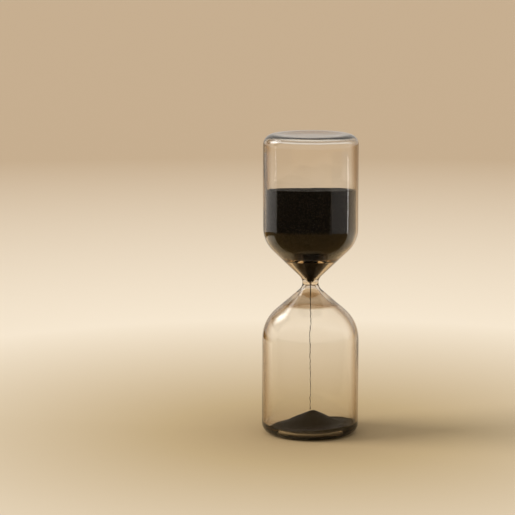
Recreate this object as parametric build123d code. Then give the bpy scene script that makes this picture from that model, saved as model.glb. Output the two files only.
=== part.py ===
from build123d import *
from collections import namedtuple
from math import acos, atan2, cos, degrees, radians, sin, sqrt, tan
import os

# Frameless sand timer: two blown bulbs welded to a thick-walled neck, with black sand sealed inside.
#
# Millimetres, +Z up. The origin is the centre of the ring the timer stands on, and the axis of
# revolution runs up from it through both bulbs.

# ---- overall ----
height = 250.0  # from one standing ring to the other
waist_height = 126.4  # of the narrowest section of the neck
wall = 1.7  # of both bulbs
upper_end = 2.4  # thickness of the flat end
lower_end = 3.6

# ---- outside of the bulbs ----
upper_radius = 39.4
lower_radius = 40.2
upper_heel = 9.0  # corner radius between the flat end and the wall
lower_heel = 8.0
upper_inner_heel = 6.5  # corner radius on the inside
lower_inner_heel = 7.0
upper_shoulder = 25.6  # radius of the curve between the wall and the cone
lower_shoulder = 33.3
upper_cone = 46.4  # half angle of the cone, in degrees
lower_cone = 48.9
ring_width = 4.3  # of the flat ring on each end that the timer can stand on
dish_depth = 1.2  # hollow inside that ring

# ---- neck ----
waist_radius = 6.7
waist_curve = 7.9  # radius of the groove, seen from the side
upper_weld = 4.3  # from the shoulder's lower end to the weld
lower_weld = 4.4  # from the shoulder's upper end to the weld
ledge_height = 1.1  # over which the wall thickens just below the upper weld
ledge_width = 8.2  # by which the funnel's mouth is narrower than the bulb at the upper weld
bore_radius = 0.75
bore_top = 0.5  # above the waist
bore_bottom = 1.4  # below the waist
dome_radius = 5.5  # rounded top of the lower hollow, around the bore
dome_cone = 33.0  # half angle of the lower hollow where its dome ends and it starts to flare, in degrees

# ---- seal of the filling hole ----
seal_radius = 1.6
seal_head_radius = 2.8
seal_head = 0.7  # how far its head stands out from the dished end
seal_round = 0.55  # on the edge of its head

# ---- sand ----
sand_gap = 0.1  # between the bulbs and the sand
upper_air = 43.6  # height of the air over the upper sand, at the axis
upper_slope = 5.0  # degrees, falling towards +Y
crater_radius = 9.0
crater_depth = 1.6
lower_level = 3.4  # of the bed in the lower bulb, above the inside of its flat end
lower_slope = 3.4  # degrees, rising towards +X
lower_fall = 3.5  # degrees, falling towards +Y
heap_height = 14.8  # above the inside of the flat end
heap_offset = 2.4  # of the heap's tip from the axis, towards +X
heap_slope = 25.5  # degrees
heap_tip_radius = 5.0
bore_gap = 0.15  # between the sand and the neck
stream_end_radius = 0.32
stream_length = 23.0  # below the waist, before it breaks up into grains
grain_radius = 0.3
grain_stray = 0.35  # of the falling grains from the axis
grain_gap = 0.95  # between the centres of the first two grains
grain_stretch = 1.014  # each gap over the one above it, as the grains speed up

# One half of the vessel. All its heights are measured from its own standing ring towards the waist.
Half = namedtuple("Half", "radius heel inner_heel end shoulder cone waist weld_gap")
LOWER = Half(
    lower_radius,
    lower_heel,
    lower_inner_heel,
    lower_end,
    lower_shoulder,
    lower_cone,
    waist_height,
    lower_weld,
)
UPPER = Half(
    upper_radius,
    upper_heel,
    upper_inner_heel,
    upper_end,
    upper_shoulder,
    upper_cone,
    height - waist_height,
    upper_weld,
)


def point(radius, z):
    """A corner of a profile."""
    return [Vector(radius, 0, z)]


def arc(radius, z, bend, start, end):
    """An arc of a profile about (radius, z), between two angles above the outward direction."""
    angles = [radians(a) for a in (start, (start + end) / 2, end)]
    return [Vector(radius + bend * cos(a), 0, z + bend * sin(a)) for a in angles]


def turned(profile):
    """The solid turned from a closed profile of corners and arcs, with straight lines between them."""
    edges = []
    for piece, following in zip(profile, profile[1:] + profile[:1]):
        if len(piece) == 3:
            edges.append(Edge.make_three_point_arc(*piece))
        if (following[0] - piece[-1]).length > 1e-6:
            edges.append(Edge.make_line(piece[-1], following[0]))
    return revolve(Face(Wire(edges)), Axis.Z, 360)


def backwards(profile):
    """The same profile, from its end to its start."""
    return [piece[::-1] for piece in profile[::-1]]


def upside_down(profile):
    """A profile of the upper half, turned over to its place in the timer."""
    return [[Vector(p.X, 0, height - p.Z) for p in piece] for piece in profile]


def cone_radius(half, z, depth):
    """Radius of a half's cone at one height, at a depth below its outer face."""
    cone = radians(half.cone)
    groove_radius = waist_radius + waist_curve * (1 - cos(cone))
    groove_z = half.waist - waist_curve * sin(cone)
    return groove_radius + (groove_z - z) * tan(cone) - depth / cos(cone)


def shoulder_end(half):
    """Height at which the shoulder runs into the cone."""
    cone = radians(half.cone)
    radius = half.radius - half.shoulder * (1 - cos(cone))
    return (cone_radius(half, 0, 0) - radius) / tan(cone)


def weld(half):
    """Height of the weld between the bulb and the neck."""
    return shoulder_end(half) + half.weld_gap


def dish_radius(half):
    """Radius of the hollow in the flat end."""
    return half.radius - half.heel - ring_width


def dish_bow(half):
    """Radius of the sphere that the hollow in the flat end is part of."""
    return (dish_radius(half) ** 2 + dish_depth**2) / (2 * dish_depth)


def bulb_profile(half, depth, end_depth, heel_radius, top):
    """From the centre of the flat end round and up to one height on the cone, at a depth in the glass."""
    edge = dish_radius(half)
    bow_z = end_depth + dish_depth - dish_bow(half)
    dish_z = bow_z + sqrt(dish_bow(half) ** 2 - (edge / 2) ** 2)
    dish = point(0, end_depth + dish_depth) + point(edge / 2, dish_z) + point(edge, end_depth)
    heel = arc(half.radius - depth - heel_radius, end_depth + heel_radius, heel_radius, -90, 0)
    shoulder_z = shoulder_end(half) - half.shoulder * sin(radians(half.cone))
    shoulder = arc(half.radius - half.shoulder, shoulder_z, half.shoulder - depth, 0, half.cone)
    return [dish, heel, shoulder, point(cone_radius(half, top, depth), top)]


def bulb(half):
    """Profile of one bulb's wall, from its flat end to its weld."""
    outside = bulb_profile(half, 0, 0, half.heel, weld(half))
    inside = bulb_profile(half, wall, half.end, half.inner_heel, weld(half))
    return outside + backwards(inside)


def sand_profile(half, top):
    """The inside of one bulb, drawn in by the gap between the glass and the sand."""
    return bulb_profile(half, wall + sand_gap, half.end + sand_gap, half.inner_heel - sand_gap, top)


def funnel_mouth():
    """Radius of the upper funnel where it meets its ledge."""
    return cone_radius(UPPER, weld(UPPER), wall) - ledge_width


def dome():
    """Arc of the rounded top of the lower hollow, from the bore down to where it starts to flare."""
    centre_z = waist_height - bore_bottom - sqrt(dome_radius**2 - bore_radius**2)
    at_bore = degrees(acos(bore_radius / dome_radius))
    return arc(0, centre_z, dome_radius, at_bore, dome_cone)


def flare():
    """Arc that runs out of the dome and widens down to the inside of the lower weld."""
    start = dome()[-1]
    across = cone_radius(LOWER, weld(LOWER), wall) - start.X
    down = start.Z - weld(LOWER)
    bend = degrees(atan2(across, down)) - dome_cone
    radius = sqrt(across**2 + down**2) / (2 * sin(radians(bend)))
    centre_radius = start.X + radius * cos(radians(dome_cone))
    centre_z = start.Z + radius * sin(radians(dome_cone))
    return arc(centre_radius, centre_z, radius, 180 + dome_cone, 180 + dome_cone + 2 * bend)


def neck():
    """The thick glass between the welds: the waist outside, and the funnel, bore and dome inside."""
    upper_z = height - weld(UPPER)
    groove = arc(waist_radius + waist_curve, waist_height, waist_curve, 180 + lower_cone, 180 - upper_cone)
    return turned(
        [
            point(cone_radius(LOWER, weld(LOWER), 0), weld(LOWER)),
            groove,
            point(cone_radius(UPPER, weld(UPPER), 0), upper_z),
            point(cone_radius(UPPER, weld(UPPER), wall), upper_z),
            point(funnel_mouth(), upper_z - ledge_height),
            point(bore_radius, waist_height + bore_top),
            dome(),
            flare(),
        ]
    )


def fill_seal():
    """A stem of melted glass that fills the hole in the lower end, with a rounded head in the dish."""
    head_z = dish_depth - seal_head
    head = extrude(Plane.XY.offset(head_z) * Circle(seal_head_radius), 2 * seal_head)
    head = fillet(head.edges().sort_by(Axis.Z)[0], seal_round)
    outer_face = Pos(0, 0, dish_depth - dish_bow(LOWER)) * Sphere(dish_bow(LOWER))
    stem = extrude(Plane.XY.offset(head_z + seal_head / 2) * Circle(seal_radius), lower_end + dish_depth)
    inner_face = Pos(0, 0, lower_end) * outer_face
    return (head & outer_face) + (stem & inner_face)


def under(level, tilt_x, tilt_y):
    """Everything under a sloping plane that crosses the axis at one level."""
    below = Box(4 * lower_radius, 4 * lower_radius, 2 * height, align=(Align.CENTER, Align.CENTER, Align.MAX))
    return Pos(0, 0, level) * Rot(tilt_x, tilt_y, 0) * below


def upper_sand():
    """The sand still to run: it fills the bulb and the funnel up to a sloping top with a crater in it."""
    ledge_z = weld(UPPER) - bore_gap
    hollow = sand_profile(UPPER, ledge_z)
    hollow.append(point(funnel_mouth() - bore_gap, weld(UPPER) + ledge_height))
    hollow.append(point(bore_radius - bore_gap, UPPER.waist - bore_top))
    hollow.append(point(0, UPPER.waist - bore_top))
    level = height - upper_end - upper_air
    crater_curve = (crater_radius**2 + crater_depth**2) / (2 * crater_depth)
    crater = Pos(0, 0, level - crater_depth + crater_curve) * Sphere(crater_curve)
    return (turned(upside_down(hollow)) & under(level, -upper_slope, 0)) - crater


def lower_sand():
    """The sand that has run: a sloping bed with a heap on it under the stream."""
    inside = turned(sand_profile(LOWER, weld(LOWER)) + [point(0, weld(LOWER))])
    tip_z = lower_end + heap_height - heap_tip_radius
    tip = arc(0, tip_z, heap_tip_radius, 90 - heap_slope, 90)
    foot = tip[0].X + tip[0].Z / tan(radians(heap_slope))
    heap = Pos(heap_offset, 0, 0) * turned([point(0, 0), point(foot, 0), tip])
    bed = under(lower_end + lower_level, -lower_fall, -lower_slope)
    return (inside & bed) + (inside & heap)


def sand_stream():
    """The unbroken stream, from the foot of the upper sand through the bore."""
    top = waist_height + bore_top
    end = waist_height - stream_length
    side = point(bore_radius - bore_gap, top)
    return turned([point(0, end), point(stream_end_radius, end), side, point(0, top)])


def falling_grains():
    """Separate grains, from the end of the stream down to the heap."""
    z = waist_height - stream_length - grain_gap
    gap = grain_gap
    grains = []
    while z > lower_end + heap_height + 2 * grain_radius:
        turn = 2.4 * len(grains)
        stray = grain_stray * abs(sin(3.7 * len(grains)))
        grains.append(Pos(stray * cos(turn), stray * sin(turn), z) * Sphere(grain_radius))
        gap *= grain_stretch
        z -= gap
    return Compound(children=grains)


seal = fill_seal()
nodes = {
    "upper_bulb": turned(upside_down(bulb(UPPER))),
    "neck": neck(),
    "lower_bulb": turned(bulb(LOWER)) - seal,
    "fill_seal": seal,
    "upper_sand": upper_sand(),
    "sand_stream": sand_stream(),
    "falling_grains": falling_grains(),
    "lower_sand": lower_sand(),
}
os.makedirs("parts", exist_ok=True)
for name, shape in nodes.items():
    export_step(shape, f"parts/{name}.step")
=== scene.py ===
"""The looks of a frameless sand timer: a smoke-tinted blown glass vessel with black sand running in it."""
import math

import bpy
import numpy as np
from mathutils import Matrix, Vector, noise


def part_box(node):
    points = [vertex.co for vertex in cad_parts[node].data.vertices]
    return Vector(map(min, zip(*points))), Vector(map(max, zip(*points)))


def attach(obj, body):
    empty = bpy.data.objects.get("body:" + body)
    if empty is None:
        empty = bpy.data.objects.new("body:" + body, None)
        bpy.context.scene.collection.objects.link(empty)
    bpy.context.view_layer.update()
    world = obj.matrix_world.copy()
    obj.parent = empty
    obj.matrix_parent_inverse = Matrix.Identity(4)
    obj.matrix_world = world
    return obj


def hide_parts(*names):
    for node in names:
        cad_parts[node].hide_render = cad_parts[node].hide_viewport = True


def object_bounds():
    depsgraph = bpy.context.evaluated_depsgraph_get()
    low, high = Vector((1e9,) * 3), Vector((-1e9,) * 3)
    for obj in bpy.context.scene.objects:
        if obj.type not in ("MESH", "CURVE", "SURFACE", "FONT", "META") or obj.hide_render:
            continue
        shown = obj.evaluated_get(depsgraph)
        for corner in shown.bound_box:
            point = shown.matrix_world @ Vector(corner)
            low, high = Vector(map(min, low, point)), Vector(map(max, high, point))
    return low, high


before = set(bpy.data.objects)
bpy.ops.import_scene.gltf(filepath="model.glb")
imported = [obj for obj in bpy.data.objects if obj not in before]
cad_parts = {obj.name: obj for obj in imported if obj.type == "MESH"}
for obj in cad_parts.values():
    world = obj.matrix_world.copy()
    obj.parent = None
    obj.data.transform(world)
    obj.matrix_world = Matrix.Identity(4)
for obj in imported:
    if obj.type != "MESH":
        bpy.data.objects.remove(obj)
cad_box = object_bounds()

# ---- Glass vessel ----
# Light smoke-brown borosilicate. Each bulb is blown from tube with a flat, dished end, and both are welded in a
# flame to a thick neck with the bore in it. The filling hole under the lower end is closed with a melted button.
MM = 0.001
foot = cad_box[0].z
crown = cad_box[1].z
wall = 1.7 * MM
lower_end = 3.6 * MM
upper_end = 2.4 * MM
lower_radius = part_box("lower_bulb")[1].x
upper_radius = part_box("upper_bulb")[1].x
lower_heel = 8.0 * MM
upper_heel = 9.0 * MM
lower_inner_heel = 7.0 * MM
upper_inner_heel = 6.5 * MM
lower_shoulder = 33.3 * MM
upper_shoulder = 25.6 * MM
lower_cone = math.radians(48.9)
upper_cone = math.radians(46.4)

# The neck, between its two welds. The waist is where its groove is narrowest.
lower_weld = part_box("neck")[0].z
upper_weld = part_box("neck")[1].z
waist = lower_weld + 18.46 * MM
waist_radius = 6.7 * MM
groove_bend = 7.9 * MM
bore_radius = 0.75 * MM
bore_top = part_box("sand_stream")[1].z
bore_bottom = waist - 1.4 * MM
bore_lip = 0.3 * MM
funnel_mouth = 16.3 * MM
ledge_height = 1.1 * MM
ledge_bend = 0.8 * MM
flare_start_bend = 1.5 * MM
flare_middle = (9.0 * MM, lower_weld + 8.2 * MM)
flare_bend = 30 * MM
flare_top = (3.0 * MM, bore_bottom - 0.2 * MM)
flare_top_bend = 2.2 * MM

# Each end is a flat ring that the timer stands on, round a shallow dish. The seal lies in the lower dish.
ring_width = 4.3 * MM
ring_bend = 3 * MM
lower_ring = lower_radius - lower_heel - ring_width
upper_ring = upper_radius - upper_heel - ring_width
dish_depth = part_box("fill_seal")[1].z - lower_end
dish_share = 0.55  # how far out the dish stays at its full depth, as a share of the ring's radius
dish_bend = 90 * MM
seal_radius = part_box("fill_seal")[1].x
seal_depth = 0.7 * MM
seal_bend = 0.55 * MM
seal_edge = 0.1 * MM


def cone_radius(z, depth=0.0):
    """Radius of the cone above or below the waist, at a depth in the glass."""
    cone = upper_cone if z > waist else lower_cone
    groove_radius = waist_radius + groove_bend * (1 - math.cos(cone))
    rise = abs(z - waist) - groove_bend * math.sin(cone)
    return groove_radius + rise * math.tan(cone) - depth / math.cos(cone)


def cone_height(radius, side, depth=0.0):
    """Height at which the cone above (side 1) or below (side -1) the waist has a radius."""
    cone = upper_cone if side > 0 else lower_cone
    groove_radius = waist_radius + groove_bend * (1 - math.cos(cone))
    rise = groove_bend * math.sin(cone) + (radius + depth / math.cos(cone) - groove_radius) / math.tan(cone)
    return waist + side * rise


def cone_crossing():
    """Where the two cones' outer faces would meet if the waist had no groove between them."""
    just_off = 0.001 * MM
    low = cone_radius(waist - just_off)
    high = cone_radius(waist + just_off)
    gap = (low - high) / (math.tan(lower_cone) + math.tan(upper_cone))
    return low - gap * math.tan(lower_cone), waist + gap


def rounded(corners, line_step=2.4 * MM, turn_step=math.radians(3.5)):
    """Points along straight runs between corners, each given as (radius, z, bend), with an arc at each bend."""
    corners = [(Vector((r, z)), bend) for r, z, bend in corners]
    points = [corners[0][0]]

    def run_to(target):
        start = points[-1]
        count = max(1, round((target - start).length / line_step))
        points.extend(start.lerp(target, i / count) for i in range(1, count + 1))

    for (before, _), (corner, bend), (after, _) in zip(corners, corners[1:], corners[2:]):
        into = (corner - before).normalized()
        out = (after - corner).normalized()
        turn = into.angle_signed(out)
        reach = bend * math.tan(abs(turn) / 2)
        if reach < 1e-6:
            run_to(corner)
            continue
        run_to(corner - into * reach)
        to_centre = Vector((into.y, -into.x)) * math.copysign(1.0, turn)
        centre = points[-1] + to_centre * bend
        spoke = points[-1] - centre
        count = max(2, math.ceil(abs(turn) / turn_step))
        for i in range(1, count + 1):
            a = -turn * i / count
            cos_a, sin_a = math.cos(a), math.sin(a)
            points.append(centre + Vector((spoke.x * cos_a - spoke.y * sin_a, spoke.x * sin_a + spoke.y * cos_a)))
    run_to(corners[-1][0])
    return points


outer_profile = rounded(
    [
        (0.0, foot + dish_depth - seal_depth, 0),
        (seal_radius, foot + dish_depth - seal_depth, seal_bend),
        (seal_radius, foot + dish_depth - seal_edge, seal_edge),
        (lower_ring * dish_share, foot + dish_depth, dish_bend),
        (lower_ring, foot, ring_bend),
        (lower_radius, foot, lower_heel),
        (lower_radius, cone_height(lower_radius, -1), lower_shoulder),
        (*cone_crossing(), groove_bend),
        (upper_radius, cone_height(upper_radius, 1), upper_shoulder),
        (upper_radius, crown, upper_heel),
        (upper_ring, crown, ring_bend),
        (upper_ring * dish_share, crown - dish_depth, dish_bend),
        (0.0, crown - dish_depth, 0),
    ]
)
lower_bulb_inside = [
    (0.0, foot + lower_end + dish_depth, 0),
    (lower_ring * dish_share, foot + lower_end + dish_depth, dish_bend),
    (lower_ring, foot + lower_end, ring_bend),
    (lower_radius - wall, foot + lower_end, lower_inner_heel),
    (lower_radius - wall, cone_height(lower_radius - wall, -1, wall), lower_shoulder - wall),
    (cone_radius(lower_weld, wall), lower_weld, flare_start_bend),
]
neck_flare = [
    (*flare_middle, flare_bend),
    (*flare_top, flare_top_bend),
    (bore_radius, bore_bottom, bore_lip),
]
upper_sand_seat = [
    (bore_radius, bore_top, bore_lip),
    (funnel_mouth, upper_weld - ledge_height, ledge_bend),
    (cone_radius(upper_weld, wall), upper_weld, ledge_bend),
    (upper_radius - wall, cone_height(upper_radius - wall, 1, wall), upper_shoulder - wall),
]
upper_end_inside = [
    (upper_radius - wall, crown - upper_end, upper_inner_heel),
    (upper_ring, crown - upper_end, ring_bend),
    (upper_ring * dish_share, crown - upper_end - dish_depth, dish_bend),
    (0.0, crown - upper_end - dish_depth, 0),
]
inner_profile = rounded(lower_bulb_inside + neck_flare + upper_sand_seat + upper_end_inside)


def ripple(radius, z, angle, seed, swell):
    """How far blown glass wanders in or out of true: long, soft waves that run up and down the bulb."""
    around = 1.3 * radius / upper_radius
    spot = Vector((around * math.cos(angle), around * math.sin(angle), z / (70 * MM)))
    fine = Vector((spot.x * 2.6, spot.y * 2.6, z / (45 * MM)))
    offset = Vector((seed, seed * 0.7, seed * 1.3))
    return swell * (noise.noise(spot + offset) + 0.4 * noise.noise(fine + offset)) * min(1.0, radius / upper_radius)


def spin(profile, seed, swell, turns=192):
    """Vertices and faces of a surface turned from a profile that starts and ends on the axis."""
    angles = [2 * math.pi * i / turns for i in range(turns)]
    vertices = [(0.0, 0.0, profile[0].y)]
    for point in profile[1:-1]:
        for angle in angles:
            radius = point.x + ripple(point.x, point.y, angle, seed, swell)
            vertices.append((radius * math.cos(angle), radius * math.sin(angle), point.y))
    vertices.append((0.0, 0.0, profile[-1].y))
    rows = len(profile) - 2
    faces = [(0, 1 + (i + 1) % turns, 1 + i) for i in range(turns)]
    for row in range(rows - 1):
        start = 1 + row * turns
        for i in range(turns):
            j = (i + 1) % turns
            faces.append((start + i, start + j, start + turns + j, start + turns + i))
    start, last = 1 + (rows - 1) * turns, len(vertices) - 1
    faces += [(start + i, start + (i + 1) % turns, last) for i in range(turns)]
    return vertices, faces


def mesh_piece(name, vertices, faces, material):
    """A new smooth-shaded piece."""
    mesh = bpy.data.meshes.new(name)
    mesh.from_pydata(vertices, [], faces)
    mesh.validate()
    mesh.polygons.foreach_set("use_smooth", [True] * len(mesh.polygons))
    mesh.materials.append(material)
    piece = bpy.data.objects.new(name, mesh)
    bpy.context.scene.collection.objects.link(piece)
    return piece


def new_material(name):
    """A material with only a Principled shader, and its nodes, shader and links."""
    material = bpy.data.materials.new(name)
    material.use_nodes = True
    nodes = material.node_tree.nodes
    return material, nodes, nodes["Principled BSDF"], material.node_tree.links


def new_node(nodes, kind, values):
    """A new node of a kind, with the values of some of its inputs."""
    node = nodes.new("ShaderNode" + kind)
    for name, value in values.items():
        node.inputs[name].default_value = value
    return node


def tone_ramp(nodes, stops):
    """A colour ramp through stops given as (position, colour), lowest first."""
    ramp = nodes.new("ShaderNodeValToRGB")
    marks = ramp.color_ramp.elements
    marks[0].position, marks[1].position = stops[0][0], stops[-1][0]
    for position, _ in stops[1:-1]:
        marks.new(position)
    for mark, (_, colour) in zip(marks, stops):
        mark.color = (*colour, 1)
    return ramp


# From a wall seen straight on to one seen edge on, darker partly for the long path through the tinted glass and
# partly as painted shade, the dark that refraction and reflection show at the edges.
edge_tint_and_shade_tones = (
    (0.45, (1, 1, 1)),
    (0.68, (0.52, 0.38, 0.23)),
    (0.80, (0.17, 0.095, 0.042)),
    (0.97, (0.02, 0.008, 0.003)),
)
# From the neck's lower weld to its upper one: the glass is thickest and so darkest just above the lower weld.
neck_tones = (
    (0.0, (1, 1, 1)),
    (0.015, (0.70, 0.59, 0.46)),
    (0.14, (0.86, 0.80, 0.71)),
    (0.30, (0.95, 0.91, 0.86)),
    (1.0, (1, 1, 1)),
)


def smoke_glass():
    """Clear light smoke-brown glass, with the faint drag lines and pits of flame work, and painted shade where a
    wall is seen edge on.
    """
    material, nodes, shader, links = new_material("smoke_glass")
    shader.inputs["Transmission Weight"].default_value = 1.0
    shader.inputs["IOR"].default_value = 1.474
    tint = new_node(nodes, "VolumeAbsorption", {"Color": (0.86, 0.68, 0.38, 1), "Density": 56.0})
    links.new(tint.outputs["Volume"], nodes["Material Output"].inputs["Volume"])

    coordinates = nodes.new("ShaderNodeTexCoord")
    stretch = new_node(nodes, "Mapping", {"Scale": (60, 60, 9)})
    drag = new_node(nodes, "TexNoise", {"Scale": 1.0, "Detail": 2.0})
    lines = new_node(nodes, "Bump", {"Strength": 0.25, "Distance": 0.4 * MM})
    haze = new_node(nodes, "MapRange", {"From Min": 0.45, "From Max": 0.75, "To Min": 0.0, "To Max": 0.02})
    links.new(coordinates.outputs["Object"], stretch.inputs["Vector"])
    links.new(stretch.outputs["Vector"], drag.inputs["Vector"])
    links.new(drag.outputs["Fac"], lines.inputs["Height"])
    links.new(lines.outputs["Normal"], shader.inputs["Normal"])
    links.new(drag.outputs["Fac"], haze.inputs["Value"])
    links.new(haze.outputs["Result"], shader.inputs["Roughness"])

    # The base colour darkens towards edge on: partly the glass's own tint, partly painted shade on the edges.
    slant = new_node(nodes, "LayerWeight", {"Blend": 0.5})
    edge = tone_ramp(nodes, edge_tint_and_shade_tones)
    height = nodes.new("ShaderNodeSeparateXYZ")
    zone = new_node(nodes, "MapRange", {"From Min": lower_weld - 0.4 * MM, "From Max": upper_weld})
    melted = tone_ramp(nodes, neck_tones)
    both = nodes.new("ShaderNodeMix")
    both.data_type = "RGBA"
    both.blend_type = "MULTIPLY"
    both.inputs["Factor"].default_value = 1.0
    links.new(slant.outputs["Facing"], edge.inputs["Fac"])
    links.new(coordinates.outputs["Object"], height.inputs["Vector"])
    links.new(height.outputs["Z"], zone.inputs["Value"])
    links.new(zone.outputs["Result"], melted.inputs["Fac"])
    links.new(edge.outputs["Color"], both.inputs["A"])
    links.new(melted.outputs["Color"], both.inputs["B"])
    links.new(both.outputs["Result"], shader.inputs["Base Color"])
    return material


outer_vertices, outer_faces = spin(outer_profile, seed=3.1, swell=0.30 * MM)
inner_vertices, inner_faces = spin(inner_profile, seed=8.4, swell=0.22 * MM)
first_inner = len(outer_vertices)
inward = [tuple(first_inner + v for v in face[::-1]) for face in inner_faces]
vessel = mesh_piece("glass_vessel", outer_vertices + inner_vertices, outer_faces + inward, smoke_glass())
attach(vessel, "root")
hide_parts("upper_bulb", "neck", "lower_bulb", "fill_seal")

# ---- Upper sand ----
# Black mineral sand with grains of about 0.4 mm, still to run. It fills the bulb and the funnel down to the bore,
# and its top slopes and dips a little towards the middle, where it is drawn down.
sand_gap = 0.10 * MM
grit = 0.12 * MM
lump_size = 0.9 * MM
pressed_share = 0.25  # how much of the grit is left where sand is pressed against the glass
upper_sand_top = crown - upper_end - 43.6 * MM
upper_sand_slope = math.tan(math.radians(5.0))
draw_down = 1.4 * MM
draw_down_radius = 10 * MM
grain_tones = (
    (0.0, (0.0016, 0.0013, 0.0009)),
    (0.75, (0.0050, 0.0038, 0.0024)),
    (1.0, (0.045, 0.032, 0.018)),
)


def black_sand():
    """Loose black grains: each a little lighter, browner or shinier than the next."""
    material, nodes, shader, links = new_material("black_sand")
    shader.inputs["Specular IOR Level"].default_value = 0.12
    coordinates = nodes.new("ShaderNodeTexCoord")
    grains = new_node(nodes, "TexVoronoi", {"Scale": 2200})
    split = nodes.new("ShaderNodeSeparateColor")
    shades = tone_ramp(nodes, grain_tones)
    gloss = new_node(nodes, "MapRange", {"To Min": 0.35, "To Max": 0.85})
    lumps = new_node(nodes, "Bump", {"Strength": 0.8, "Distance": 0.3 * MM})
    lumps.invert = True
    links.new(coordinates.outputs["Object"], grains.inputs["Vector"])
    links.new(grains.outputs["Color"], split.inputs["Color"])
    links.new(split.outputs["Red"], shades.inputs["Fac"])
    links.new(shades.outputs["Color"], shader.inputs["Base Color"])
    links.new(split.outputs["Green"], gloss.inputs["Value"])
    links.new(gloss.outputs["Result"], shader.inputs["Roughness"])
    links.new(grains.outputs["Distance"], lumps.inputs["Height"])
    links.new(lumps.outputs["Normal"], shader.inputs["Normal"])
    return material


def inside_line(corners):
    """The glass's inner face drawn in by the gap, for sand to lie against."""
    line = rounded(corners, line_step=0.6 * MM, turn_step=math.radians(2))
    drawn = []
    for before, here, after in zip([line[0], *line], line, [*line[1:], line[-1]]):
        way = (after - before).normalized()
        drawn.append(here + Vector((-way.y, way.x)) * sand_gap)
    drawn[0].x = 0.0
    return drawn


def heaped(wall_line, top_at, side_steps, top_steps, turns=300):
    """Vertices and faces of sand that lies in a turned wall, below a top given as a height at (x, y).

    wall_line runs from the axis up the wall. Along each bearing the sand follows it to where the top meets it."""
    radii = np.array([p.x for p in wall_line])
    heights = np.array([p.y for p in wall_line])
    along = np.concatenate([[0], np.cumsum(np.hypot(np.diff(radii), np.diff(heights)))])
    places = []  # (radius, angle, z, whether it is on the top)
    for k in range(turns):
        angle = 2 * math.pi * k / turns
        over = np.array([z - top_at(r * math.cos(angle), r * math.sin(angle)) for r, z in zip(radii, heights)])
        i = int(np.argmax(over > 0))
        share = over[i - 1] / (over[i - 1] - over[i])
        end = along[i - 1] + share * (along[i] - along[i - 1])
        for s in range(1, side_steps + 1):
            at = end * s / side_steps
            places.append((np.interp(at, along, radii), angle, np.interp(at, along, heights), False))
        edge_radius = np.interp(end, along, radii)
        for s in range(1, top_steps):
            r = edge_radius * (1 - s / top_steps)
            places.append((r, angle, top_at(r * math.cos(angle), r * math.sin(angle)), True))
    vertices = []
    for radius, angle, z, on_top in places:
        spot = Vector((radius * math.cos(angle), radius * math.sin(angle), z))
        rough = noise.noise(spot / lump_size) + 0.6 * noise.noise(spot / (lump_size / 2))
        if on_top:
            spot.z += grit * rough
        else:
            inward_by = min(1.0, radius / (3 * MM)) * grit * (0.8 + rough) * pressed_share
            spot.xy *= 1 - max(0.0, inward_by) / max(radius, 1e-6)
        vertices.append(tuple(spot))
    bottom, centre = len(vertices), len(vertices) + 1
    vertices.append((0.0, 0.0, float(heights[0])))
    vertices.append((0.0, 0.0, float(top_at(0.0, 0.0))))
    ring = side_steps + top_steps - 1
    faces = []
    for k in range(turns):
        a, b = k * ring, (k + 1) % turns * ring
        faces.append((bottom, b, a))
        faces += [(a + s, b + s, b + s + 1, a + s + 1) for s in range(ring - 1)]
        faces.append((a + ring - 1, b + ring - 1, centre))
    return vertices, faces


def upper_top(x, y):
    """Height of the upper sand: a slope to the back, a shallow dip over the bore and slight unevenness."""
    dip = draw_down * math.exp(-(x * x + y * y) / draw_down_radius ** 2)
    uneven = 0.35 * MM * noise.noise(Vector((x, y, 0.3)) / (9 * MM))
    return upper_sand_top - upper_sand_slope * y - dip + uneven


sand = black_sand()
well_above_sand = (upper_radius - wall, crown - 12 * MM, 0)
upper_line = [Vector((0.0, bore_top)), *inside_line(upper_sand_seat + [well_above_sand])]
upper_sand = mesh_piece("upper_sand", *heaped(upper_line, upper_top, side_steps=220, top_steps=90), sand)
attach(upper_sand, "root")
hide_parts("upper_sand")

# ---- Lower sand ----
# The same sand after it has run: a thin bed that lies higher on one side, with a heap under the stream.
# Nothing holds it but the glass, and the heap stands at the slope at which loose sand starts to slide.
bed_level = foot + lower_end + 3.0 * MM
bed_rise = math.tan(math.radians(4.2))
bed_fall = math.tan(math.radians(3.5))
heap_top = foot + lower_end + 14.8 * MM
heap_middle = 2.4 * MM
heap_slope = math.tan(math.radians(26.5))
heap_tip = 2.25 * MM
skirt = 1.1 * MM  # how gently the heap's foot runs out into the bed


def lower_top(x, y):
    """Height of the lower sand: a sloping bed and a heap with a rounded tip and a skirt that flattens out."""
    out = math.hypot(x - heap_middle, y)
    bed = bed_level + bed_rise * x - bed_fall * y + 0.3 * MM * noise.noise(Vector((x, y, 4.2)) / (8 * MM))
    flank = heap_top + heap_slope * (heap_tip - math.hypot(out, heap_tip))
    flank += 0.2 * MM * noise.noise(Vector((x, y, 1.7)) / (5 * MM))
    over = (flank - bed) / skirt
    return bed + skirt * (over if over > 30 else math.log1p(math.exp(over)))


lower_line = inside_line(lower_bulb_inside)
lower_sand = mesh_piece("lower_sand", *heaped(lower_line, lower_top, side_steps=90, top_steps=110), sand)
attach(lower_sand, "root")
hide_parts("lower_sand")

# ---- Stream and falling grains ----
# Grains leave the bore packed together as a thread, which thins as it speeds up and breaks into single grains.
# Both are separate angular grains of the same sand, and nothing holds them as they fall.
grain_radius = 0.36 * MM
stream_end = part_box("sand_stream")[0].z
fall_end = heap_top + 0.2 * MM
rng = np.random.default_rng(7)


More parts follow.
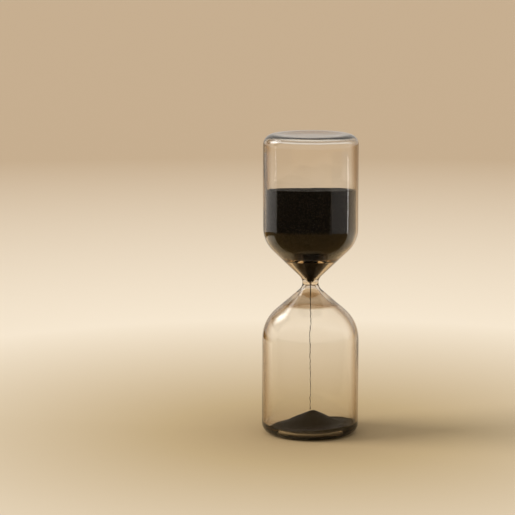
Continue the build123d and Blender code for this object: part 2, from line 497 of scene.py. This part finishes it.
def grain_shape():
    """Corners and faces of one angular grain, about 1 unit in radius."""
    g = (1 + math.sqrt(5)) / 2
    corners = [(-1, g, 0), (1, g, 0), (-1, -g, 0), (1, -g, 0), (0, -1, g), (0, 1, g), (0, -1, -g), (0, 1, -g),
               (g, 0, -1), (g, 0, 1), (-g, 0, -1), (-g, 0, 1)]
    faces = [(0, 11, 5), (0, 5, 1), (0, 1, 7), (0, 7, 10), (0, 10, 11), (1, 5, 9), (5, 11, 4), (11, 10, 2),
             (10, 7, 6), (7, 1, 8), (3, 9, 4), (3, 4, 2), (3, 2, 6), (3, 6, 8), (3, 8, 9), (4, 9, 5), (2, 4, 11),
             (6, 2, 10), (8, 6, 7), (9, 8, 1)]
    return np.array(corners) / math.sqrt(1 + g * g), faces


def grains(name, places):
    """One piece of many separate grains, each turned and shaped at random, that stands for its own node."""
    corners, faces = grain_shape()
    vertices, all_faces = [], []
    for place in places:
        turn, _ = np.linalg.qr(rng.normal(size=(3, 3)))
        if np.linalg.det(turn) < 0:
            turn[:, 0] *= -1
        size = grain_radius * rng.uniform(0.75, 1.25) * rng.uniform(0.8, 1.15, 3)
        start = len(vertices)
        vertices += [tuple(v) for v in (corners * rng.uniform(0.85, 1.1, (12, 1)) * size) @ turn.T + place]
        all_faces += [tuple(start + v for v in face) for face in faces]
    piece = mesh_piece(name, vertices, all_faces, sand)
    piece.data.polygons.foreach_set("use_smooth", [False] * len(piece.data.polygons))
    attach(piece, "root")
    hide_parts(name)


thread = []
z = bore_top - 0.2 * MM
while z > stream_end:
    share = (bore_top - z) / (bore_top - stream_end)
    spread = (0.36 - 0.30 * share ** 0.4) * MM
    for _ in range(2 if share > 0.2 else 4):
        turn, out = rng.uniform(0, 2 * math.pi), spread * math.sqrt(rng.uniform())
        thread.append(Vector((out * math.cos(turn), out * math.sin(turn), z + rng.uniform(-0.1, 0.1) * MM)))
    z -= (0.24 + 0.10 * share) * MM
grains("sand_stream", thread)

falling = []
stray = 0.14 * MM
z = stream_end
while z > fall_end:
    share = (stream_end - z) / (stream_end - fall_end)
    z -= rng.uniform(0.25, 0.55 + 0.5 * share) * MM
    sway = 0.7 * MM * noise.noise(Vector((0.2, 0.7, z / (3.0 * MM))))
    falling.append(Vector((sway + rng.normal(0, stray), rng.normal(0, stray), z)))
grains("falling_grains", falling)

# ---- Studio ----
# A sheet of pale warm paper that runs out of sight, a wide soft light from the left, and cards round the timer
# that show only as reflections in the glass.
floor_reach = 16.0
# Paper tones by distance from the timer: the first two stops are painted shade under it, and the last stop is
# painted shade for light falling off far away.
floor_tones_painted_shade = (
    (0.0120, (0.36, 0.27, 0.16)),
    (0.0155, (0.40, 0.30, 0.17)),
    (0.06, (0.48, 0.38, 0.23)),
    (0.26, (0.78, 0.72, 0.62)),
    (1.0, (0.47, 0.37, 0.26)),
)


def floor_paper_painted_shade():
    """Matt warm paper, with painted shade in a disc under the timer and painted shade far off for light falling away
    with distance. Its tones run out to two metres from it.
    """
    material, nodes, shader, links = new_material("floor_paper_painted_shade")
    shader.inputs["Roughness"].default_value = 0.9
    shader.inputs["Specular IOR Level"].default_value = 0.1
    coordinates = nodes.new("ShaderNodeTexCoord")
    length = nodes.new("ShaderNodeVectorMath")
    length.operation = "LENGTH"
    reach = new_node(nodes, "MapRange", {"From Max": 2.0})
    # This ramp lays the painted shade under the timer and far off into the paper's colour.
    tone = tone_ramp(nodes, floor_tones_painted_shade)
    links.new(coordinates.outputs["Object"], length.inputs[0])
    links.new(length.outputs["Value"], reach.inputs["Value"])
    links.new(reach.outputs["Result"], tone.inputs["Fac"])
    links.new(tone.outputs["Color"], shader.inputs["Base Color"])
    return material


floor_corners = [(side * floor_reach, end * floor_reach, foot) for side, end in ((-1, -1), (1, -1), (1, 1), (-1, 1))]
mesh_piece("floor", floor_corners, [(0, 1, 2, 3)], floor_paper_painted_shade())


def card(name, bearings, reach, heights, strength, colour=(1, 1, 1), sag=0.0):
    """A glowing card seen only in reflections, curved round the timer between two bearings, in degrees.

    Bearing 0 is in front, 90 right and -90 left. The card runs from the first reach and height to the second, and
    its top is lower by sag at a bearing of 90."""
    material, nodes, shader, links = new_material(name)
    nodes.remove(shader)
    glow = new_node(nodes, "Emission", {"Color": (*colour, 1), "Strength": strength})
    clear = nodes.new("ShaderNodeBsdfTransparent")
    path = nodes.new("ShaderNodeLightPath")
    reflected = nodes.new("ShaderNodeMixShader")
    links.new(path.outputs["Glossy Depth"], reflected.inputs["Fac"])
    links.new(clear.outputs["BSDF"], reflected.inputs[1])
    links.new(glow.outputs["Emission"], reflected.inputs[2])
    links.new(reflected.outputs["Shader"], nodes["Material Output"].inputs["Surface"])
    start, end = bearings
    steps = max(1, round((end - start) / 5))
    vertices = []
    for i in range(steps + 1):
        a = math.radians(start + (end - start) * i / steps)
        top = heights[1] - sag * (a / math.radians(90)) ** 2
        for r, z in ((reach[0], heights[0]), (reach[1], top)):
            vertices.append((r * math.sin(a), -r * math.cos(a), z))
    faces = [(2 * i, 2 * i + 2, 2 * i + 3, 2 * i + 1) for i in range(steps)]
    piece = mesh_piece(name, vertices, faces, material)
    piece.visible_camera = False
    piece.visible_diffuse = False
    piece.visible_volume_scatter = False
    piece.visible_shadow = False
    return piece


# A dark room in front with a brown counter below it, a lit wall on each side and a narrow bright strip at the right.
counter_brown = (0.20, 0.12, 0.04)
card("card_dark", (-89, 49), (0.62, 0.62), (0.0, 0.14), 0.03, (1, 0.75, 0.5))
card("card_table", (-100, 100), (0.07, 0.60), (0.0005, 0.0005), 1.0, counter_brown)
card("card_counter", (-150, 101), (0.59, 0.59), (0.0, 0.083), 1.0, counter_brown, sag=0.008)
card("card_left", (-150, -90), (0.70, 0.70), (0.0, 0.16), 0.55, (1, 0.94, 0.88))
card("card_right", (50, 101), (0.70, 0.70), (0.0, 0.16), 0.30, (1, 0.93, 0.86))
card("card_strip", (98, 100), (0.66, 0.66), (0.0, 0.16), 4.0)
window = card("card_window", (-142, -90), (1.6, 1.6), (0.55, 2.2), 9.0)

# The window is brightest in the middle and fades to nothing at its edges.
window_tree = window.data.materials[0].node_tree
across = window_tree.nodes.new("ShaderNodeTexCoord")
centred = new_node(window_tree.nodes, "Mapping", {"Location": (-1, -1, -1), "Scale": (2, 2, 2)})
fade = window_tree.nodes.new("ShaderNodeTexGradient")
fade.gradient_type = "SPHERICAL"
brightness = new_node(window_tree.nodes, "MapRange", {"From Max": 0.8, "To Max": 8.0})
window_tree.links.new(across.outputs["Generated"], centred.inputs["Vector"])
window_tree.links.new(centred.outputs["Vector"], fade.inputs["Vector"])
window_tree.links.new(fade.outputs["Fac"], brightness.inputs["Value"])
window_tree.links.new(brightness.outputs["Result"], window_tree.nodes["Emission"].inputs["Strength"])

# The soft light is a sun as wide as a large window, with no reflection of its own in the glass.
key = bpy.data.lights.new("key", "SUN")
key.angle = math.radians(38)
key.energy = 2.7
key.color = (1.0, 0.95, 0.88)
key_lamp = bpy.data.objects.new("key", key)
key_lamp.rotation_euler = Vector((1.75, 0.1, -1.05)).to_track_quat("-Z", "Y").to_euler()
key_lamp.visible_glossy = False
key_lamp.visible_transmission = False
bpy.context.scene.collection.objects.link(key_lamp)

world = bpy.data.worlds.new("studio")
bpy.context.scene.world = world
world.use_nodes = True
sky = world.node_tree.nodes["Background"]
sky.inputs["Color"].default_value = (1.0, 0.93, 0.84, 1)
sky.inputs["Strength"].default_value = 0.76
bpy.context.scene.view_settings.view_transform = "Standard"

# The camera stands two metres off, a little above the timer, and looks slightly past its left side.
camera_distance = 2.0
camera_elevation = math.radians(9.58)
aim_offset = Vector((-43.9 * MM, 0, 22.2 * MM))
camera_data = bpy.data.cameras.new("camera")
camera_data.lens = 168.6
camera_data.sensor_width = 36.0
camera_data.clip_end = 100.0
camera = bpy.data.objects.new("camera", camera_data)
bpy.context.scene.collection.objects.link(camera)
bpy.context.scene.camera = camera
centre = (cad_box[0] + cad_box[1]) / 2
camera.location = centre + camera_distance * Vector((0, -math.cos(camera_elevation), math.sin(camera_elevation)))
camera.rotation_euler = (centre + aim_offset - camera.location).to_track_quat("-Z", "Y").to_euler()
